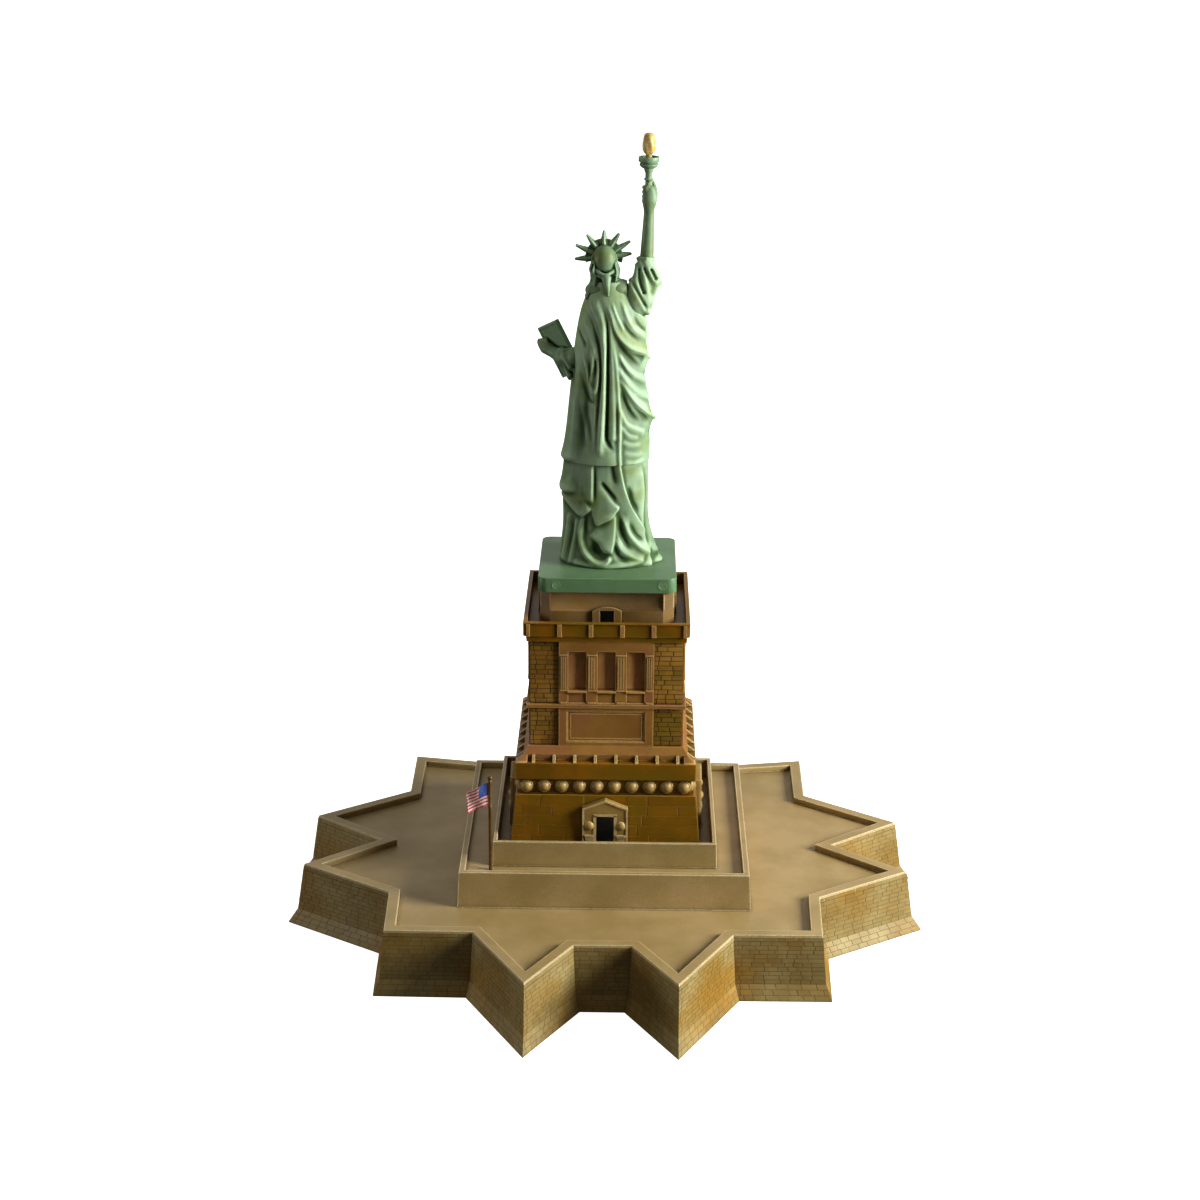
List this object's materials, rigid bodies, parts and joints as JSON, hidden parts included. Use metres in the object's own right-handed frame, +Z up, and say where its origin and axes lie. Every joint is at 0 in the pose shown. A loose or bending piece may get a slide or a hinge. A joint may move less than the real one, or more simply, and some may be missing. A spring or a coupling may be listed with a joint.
{
  "type": "miniature landmark model",
  "caption": "Tabletop model of a robed torch bearer on a stone pedestal and star-shaped fort, with a flagstaff that turns in its socket.",
  "frame": {"origin": "on the ground under the middle of the model's overall box, which is also the pedestal's centre line", "axes": "+Z up; -Y is the way the figure faces; +X is towards the figure's left hand, which holds the tablet"},
  "size_m": [0.1398, 0.1448, 0.172],
  "materials": {
    "fort_masonry": "ochre paint with a dark wash in the engraved joints",
    "fort_stone": "flat tan paint, lightly mottled",
    "pedestal_masonry": "brown ochre paint with dark wash and dry-brushed edges",
    "trim_stone": "pale stone paint, lightly mottled",
    "verdigris": "pale copper-green paint with dark wash in the folds",
    "flame_gold": "metallic gold paint",
    "staff_bronze": "brown bronze paint",
    "flag_paint": "hand-painted stripes with a blue corner",
    "base_plastic": "unpainted matt plastic"
  },
  "bodies": {
    "root": {"base_plate": "base_plastic", "fort_wall": "fort_masonry", "fort_parapet": "fort_stone", "fort_deck": "fort_stone", "lower_terrace": "fort_stone", "upper_terrace": "fort_stone", "pedestal_base": "pedestal_masonry", "entrance_porticos": "trim_stone", "portico_shields": "trim_stone", "shield_band": "pedestal_masonry", "round_shields": "pedestal_masonry", "plain_band": "pedestal_masonry", "bracket_band": "pedestal_masonry", "brackets": "trim_stone", "weathering": "pedestal_masonry", "shaft_core": "pedestal_masonry", "lower_quoins": "pedestal_masonry", "upper_quoins": "pedestal_masonry", "lower_panels": "pedestal_masonry", "string_course": "pedestal_masonry", "loggia_frames": "pedestal_masonry", "loggia_sills": "pedestal_masonry", "pilaster_capitals": "pedestal_masonry", "shaft_cornice": "pedestal_masonry", "balcony_floor": "pedestal_masonry", "balcony_parapet": "pedestal_masonry", "parapet_posts": "pedestal_masonry", "attic_block": "pedestal_masonry", "attic_doorways": "pedestal_masonry", "statue_plinth": "verdigris", "robe_front": "verdigris", "robe_back": "verdigris", "mantle": "verdigris", "head": "verdigris", "hair_knot": "verdigris", "diadem": "verdigris", "crown_rays": "verdigris", "right_sleeve": "verdigris", "right_forearm": "verdigris", "right_hand": "verdigris", "torch_handle": "verdigris", "torch_gallery": "verdigris", "torch_flame": "flame_gold", "left_forearm": "verdigris", "left_hand": "verdigris", "tablet": "verdigris"},
    "flagstaff": {"flag_pole": "staff_bronze", "flag_finial": "staff_bronze", "flag": "flag_paint"}
  },
  "joints": [
    {"name": "flagstaff_turn", "type": "hinge", "parent": "root", "child": "flagstaff", "pos_m": [0.0243, 0.0259, 0.018], "axis": [0, 0, 1], "continuous": true}
  ]
}
